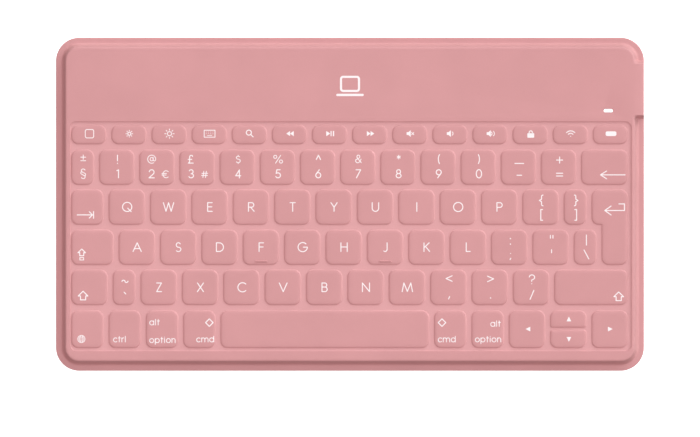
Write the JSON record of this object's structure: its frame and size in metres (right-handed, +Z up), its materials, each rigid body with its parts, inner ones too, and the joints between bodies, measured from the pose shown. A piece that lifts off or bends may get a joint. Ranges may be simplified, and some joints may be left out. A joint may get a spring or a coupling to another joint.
{
  "type": "tablet keyboard",
  "caption": "Slim wireless tablet keyboard with a fabric skin over low keys, a raised battery header and a side port block with a power switch.",
  "frame": {"origin": "centre of the underside, on the surface that the keyboard rests on", "axes": "+X towards the side with the charging port, +Y from the space bar towards the header, +Z up through the keys"},
  "size_m": [0.242, 0.137, 0.006],
  "materials": {
    "fabric_skin": "matte coated weave, dusty pink",
    "fabric_underside": "matte coated weave, dusty pink",
    "fabric_key": "matte coated weave, dusty pink, white printed legends",
    "moulded_polymer": "matte moulded",
    "plate_metal": "rolled sheet",
    "printed_film": "printed polyester film",
    "silicone": "translucent silicone",
    "battery_pouch": "foil pouch",
    "circuit_board": "solder mask",
    "port_metal": "plated sheet",
    "switch_metal": "pressed sheet",
    "slider_polymer": "matte moulded",
    "light_lens": "translucent white",
    "cap_polymer": "matte moulded, dusty pink"
  },
  "bodies": {
    "chassis": {"base_plate": "plate_metal", "battery_cell": "battery_pouch", "bottom_skin": "fabric_underside", "dome_sheet": "silicone", "guide_plate": "moulded_polymer", "inner_frame": "moulded_polymer", "main_board": "circuit_board", "membrane_circuit": "printed_film", "port_cap": "cap_polymer", "status_light": "light_lens", "switch_body": "switch_metal", "top_skin": "fabric_skin", "usb_port": "port_metal"},
    "power_slider": {"power_slider": "slider_polymer"},
    "key_a": {"key_a": "fabric_key"},
    "key_b": {"key_b": "fabric_key"},
    "key_backspace": {"key_backspace": "fabric_key"},
    "key_c": {"key_c": "fabric_key"},
    "key_caps_lock": {"key_caps_lock": "fabric_key"},
    "key_d": {"key_d": "fabric_key"},
    "key_down": {"key_down": "fabric_key"},
    "key_e": {"key_e": "fabric_key"},
    "key_enter": {"key_enter": "fabric_key"},
    "key_f": {"key_f": "fabric_key"},
    "key_g": {"key_g": "fabric_key"},
    "key_h": {"key_h": "fabric_key"},
    "key_i": {"key_i": "fabric_key"},
    "key_j": {"key_j": "fabric_key"},
    "key_k": {"key_k": "fabric_key"},
    "key_l": {"key_l": "fabric_key"},
    "key_left": {"key_left": "fabric_key"},
    "key_m": {"key_m": "fabric_key"},
    "key_n": {"key_n": "fabric_key"},
    "key_o": {"key_o": "fabric_key"},
    "key_p": {"key_p": "fabric_key"},
    "key_q": {"key_q": "fabric_key"},
    "key_r": {"key_r": "fabric_key"},
    "key_right": {"key_right": "fabric_key"},
    "key_s": {"key_s": "fabric_key"},
    "key_shift_right": {"key_shift_right": "fabric_key"},
    "key_space": {"key_space": "fabric_key"},
    "key_t": {"key_t": "fabric_key"},
    "key_tab": {"key_tab": "fabric_key"},
    "key_u": {"key_u": "fabric_key"},
    "key_up": {"key_up": "fabric_key"},
    "key_v": {"key_v": "fabric_key"},
    "key_w": {"key_w": "fabric_key"},
    "key_x": {"key_x": "fabric_key"},
    "key_y": {"key_y": "fabric_key"},
    "key_z": {"key_z": "fabric_key"},
    "keys_bracket": {"keys_bracket": "fabric_key"},
    "keys_comma": {"keys_comma": "fabric_key"},
    "keys_function_left": {"keys_function_left": "fabric_key"},
    "keys_function_right": {"keys_function_right": "fabric_key"},
    "keys_modifier_left": {"keys_modifier_left": "fabric_key"},
    "keys_modifier_right": {"keys_modifier_right": "fabric_key"},
    "keys_number_left": {"keys_number_left": "fabric_key"},
    "keys_number_right": {"keys_number_right": "fabric_key"},
    "keys_semicolon": {"keys_semicolon": "fabric_key"},
    "keys_shift_left": {"keys_shift_left": "fabric_key"}
  },
  "joints": [
    {"name": "key_a_press", "type": "slide", "parent": "chassis", "child": "key_a", "axis": [0, 0, -1], "range_m": [0, 0.0014], "stiffness_N_per_m": 400, "springref_m": -0.0004},
    {"name": "key_b_press", "type": "slide", "parent": "chassis", "child": "key_b", "axis": [0, 0, -1], "range_m": [0, 0.0014], "stiffness_N_per_m": 400, "springref_m": -0.0004},
    {"name": "key_backspace_press", "type": "slide", "parent": "chassis", "child": "key_backspace", "axis": [0, 0, -1], "range_m": [0, 0.0014], "stiffness_N_per_m": 400, "springref_m": -0.0004},
    {"name": "key_c_press", "type": "slide", "parent": "chassis", "child": "key_c", "axis": [0, 0, -1], "range_m": [0, 0.0014], "stiffness_N_per_m": 400, "springref_m": -0.0004},
    {"name": "key_caps_lock_press", "type": "slide", "parent": "chassis", "child": "key_caps_lock", "axis": [0, 0, -1], "range_m": [0, 0.0014], "stiffness_N_per_m": 400, "springref_m": -0.0004},
    {"name": "key_d_press", "type": "slide", "parent": "chassis", "child": "key_d", "axis": [0, 0, -1], "range_m": [0, 0.0014], "stiffness_N_per_m": 400, "springref_m": -0.0004},
    {"name": "key_down_press", "type": "slide", "parent": "chassis", "child": "key_down", "axis": [0, 0, -1], "range_m": [0, 0.0014], "stiffness_N_per_m": 400, "springref_m": -0.0004},
    {"name": "key_e_press", "type": "slide", "parent": "chassis", "child": "key_e", "axis": [0, 0, -1], "range_m": [0, 0.0014], "stiffness_N_per_m": 400, "springref_m": -0.0004},
    {"name": "key_enter_press", "type": "slide", "parent": "chassis", "child": "key_enter", "axis": [0, 0, -1], "range_m": [0, 0.0014], "stiffness_N_per_m": 400, "springref_m": -0.0004},
    {"name": "key_f_press", "type": "slide", "parent": "chassis", "child": "key_f", "axis": [0, 0, -1], "range_m": [0, 0.0014], "stiffness_N_per_m": 400, "springref_m": -0.0004},
    {"name": "key_g_press", "type": "slide", "parent": "chassis", "child": "key_g", "axis": [0, 0, -1], "range_m": [0, 0.0014], "stiffness_N_per_m": 400, "springref_m": -0.0004},
    {"name": "key_h_press", "type": "slide", "parent": "chassis", "child": "key_h", "axis": [0, 0, -1], "range_m": [0, 0.0014], "stiffness_N_per_m": 400, "springref_m": -0.0004},
    {"name": "key_i_press", "type": "slide", "parent": "chassis", "child": "key_i", "axis": [0, 0, -1], "range_m": [0, 0.0014], "stiffness_N_per_m": 400, "springref_m": -0.0004},
    {"name": "key_j_press", "type": "slide", "parent": "chassis", "child": "key_j", "axis": [0, 0, -1], "range_m": [0, 0.0014], "stiffness_N_per_m": 400, "springref_m": -0.0004},
    {"name": "key_k_press", "type": "slide", "parent": "chassis", "child": "key_k", "axis": [0, 0, -1], "range_m": [0, 0.0014], "stiffness_N_per_m": 400, "springref_m": -0.0004},
    {"name": "key_l_press", "type": "slide", "parent": "chassis", "child": "key_l", "axis": [0, 0, -1], "range_m": [0, 0.0014], "stiffness_N_per_m": 400, "springref_m": -0.0004},
    {"name": "key_left_press", "type": "slide", "parent": "chassis", "child": "key_left", "axis": [0, 0, -1], "range_m": [0, 0.0014], "stiffness_N_per_m": 400, "springref_m": -0.0004},
    {"name": "key_m_press", "type": "slide", "parent": "chassis", "child": "key_m", "axis": [0, 0, -1], "range_m": [0, 0.0014], "stiffness_N_per_m": 400, "springref_m": -0.0004},
    {"name": "key_n_press", "type": "slide", "parent": "chassis", "child": "key_n", "axis": [0, 0, -1], "range_m": [0, 0.0014], "stiffness_N_per_m": 400, "springref_m": -0.0004},
    {"name": "key_o_press", "type": "slide", "parent": "chassis", "child": "key_o", "axis": [0, 0, -1], "range_m": [0, 0.0014], "stiffness_N_per_m": 400, "springref_m": -0.0004},
    {"name": "key_p_press", "type": "slide", "parent": "chassis", "child": "key_p", "axis": [0, 0, -1], "range_m": [0, 0.0014], "stiffness_N_per_m": 400, "springref_m": -0.0004},
    {"name": "key_q_press", "type": "slide", "parent": "chassis", "child": "key_q", "axis": [0, 0, -1], "range_m": [0, 0.0014], "stiffness_N_per_m": 400, "springref_m": -0.0004},
    {"name": "key_r_press", "type": "slide", "parent": "chassis", "child": "key_r", "axis": [0, 0, -1], "range_m": [0, 0.0014], "stiffness_N_per_m": 400, "springref_m": -0.0004},
    {"name": "key_right_press", "type": "slide", "parent": "chassis", "child": "key_right", "axis": [0, 0, -1], "range_m": [0, 0.0014], "stiffness_N_per_m": 400, "springref_m": -0.0004},
    {"name": "key_s_press", "type": "slide", "parent": "chassis", "child": "key_s", "axis": [0, 0, -1], "range_m": [0, 0.0014], "stiffness_N_per_m": 400, "springref_m": -0.0004},
    {"name": "key_shift_right_press", "type": "slide", "parent": "chassis", "child": "key_shift_right", "axis": [0, 0, -1], "range_m": [0, 0.0014], "stiffness_N_per_m": 400, "springref_m": -0.0004},
    {"name": "key_space_press", "type": "slide", "parent": "chassis", "child": "key_space", "axis": [0, 0, -1], "range_m": [0, 0.0014], "stiffness_N_per_m": 400, "springref_m": -0.0004, "deforming": ["dome_sheet"]},
    {"name": "key_t_press", "type": "slide", "parent": "chassis", "child": "key_t", "axis": [0, 0, -1], "range_m": [0, 0.0014], "stiffness_N_per_m": 400, "springref_m": -0.0004},
    {"name": "key_tab_press", "type": "slide", "parent": "chassis", "child": "key_tab", "axis": [0, 0, -1], "range_m": [0, 0.0014], "stiffness_N_per_m": 400, "springref_m": -0.0004},
    {"name": "key_u_press", "type": "slide", "parent": "chassis", "child": "key_u", "axis": [0, 0, -1], "range_m": [0, 0.0014], "stiffness_N_per_m": 400, "springref_m": -0.0004},
    {"name": "key_up_press", "type": "slide", "parent": "chassis", "child": "key_up", "axis": [0, 0, -1], "range_m": [0, 0.0014], "stiffness_N_per_m": 400, "springref_m": -0.0004},
    {"name": "key_v_press", "type": "slide", "parent": "chassis", "child": "key_v", "axis": [0, 0, -1], "range_m": [0, 0.0014], "stiffness_N_per_m": 400, "springref_m": -0.0004},
    {"name": "key_w_press", "type": "slide", "parent": "chassis", "child": "key_w", "axis": [0, 0, -1], "range_m": [0, 0.0014], "stiffness_N_per_m": 400, "springref_m": -0.0004},
    {"name": "key_x_press", "type": "slide", "parent": "chassis", "child": "key_x", "axis": [0, 0, -1], "range_m": [0, 0.0014], "stiffness_N_per_m": 400, "springref_m": -0.0004},
    {"name": "key_y_press", "type": "slide", "parent": "chassis", "child": "key_y", "axis": [0, 0, -1], "range_m": [0, 0.0014], "stiffness_N_per_m": 400, "springref_m": -0.0004},
    {"name": "key_z_press", "type": "slide", "parent": "chassis", "child": "key_z", "axis": [0, 0, -1], "range_m": [0, 0.0014], "stiffness_N_per_m": 400, "springref_m": -0.0004},
    {"name": "keys_bracket_press", "type": "slide", "parent": "chassis", "child": "keys_bracket", "axis": [0, 0, -1], "range_m": [0, 0.0014], "stiffness_N_per_m": 400, "springref_m": -0.0004},
    {"name": "keys_comma_press", "type": "slide", "parent": "chassis", "child": "keys_comma", "axis": [0, 0, -1], "range_m": [0, 0.0014], "stiffness_N_per_m": 400, "springref_m": -0.0004},
    {"name": "keys_function_left_press", "type": "slide", "parent": "chassis", "child": "keys_function_left", "axis": [0, 0, -1], "range_m": [0, 0.0014], "stiffness_N_per_m": 400, "springref_m": -0.0004},
    {"name": "keys_function_right_press", "type": "slide", "parent": "chassis", "child": "keys_function_right", "axis": [0, 0, -1], "range_m": [0, 0.0014], "stiffness_N_per_m": 400, "springref_m": -0.0004},
    {"name": "keys_modifier_left_press", "type": "slide", "parent": "chassis", "child": "keys_modifier_left", "axis": [0, 0, -1], "range_m": [0, 0.0014], "stiffness_N_per_m": 400, "springref_m": -0.0004},
    {"name": "keys_modifier_right_press", "type": "slide", "parent": "chassis", "child": "keys_modifier_right", "axis": [0, 0, -1], "range_m": [0, 0.0014], "stiffness_N_per_m": 400, "springref_m": -0.0004},
    {"name": "keys_number_left_press", "type": "slide", "parent": "chassis", "child": "keys_number_left", "axis": [0, 0, -1], "range_m": [0, 0.0014], "stiffness_N_per_m": 400, "springref_m": -0.0004},
    {"name": "keys_number_right_press", "type": "slide", "parent": "chassis", "child": "keys_number_right", "axis": [0, 0, -1], "range_m": [0, 0.0014], "stiffness_N_per_m": 400, "springref_m": -0.0004},
    {"name": "keys_semicolon_press", "type": "slide", "parent": "chassis", "child": "keys_semicolon", "axis": [0, 0, -1], "range_m": [0, 0.0014], "stiffness_N_per_m": 400, "springref_m": -0.0004},
    {"name": "keys_shift_left_press", "type": "slide", "parent": "chassis", "child": "keys_shift_left", "axis": [0, 0, -1], "range_m": [0, 0.0014], "stiffness_N_per_m": 400, "springref_m": -0.0004},
    {"name": "power_slide", "type": "slide", "parent": "chassis", "child": "power_slider", "axis": [0, 1, 0], "range_m": [0, 0.0025]}
  ]
}
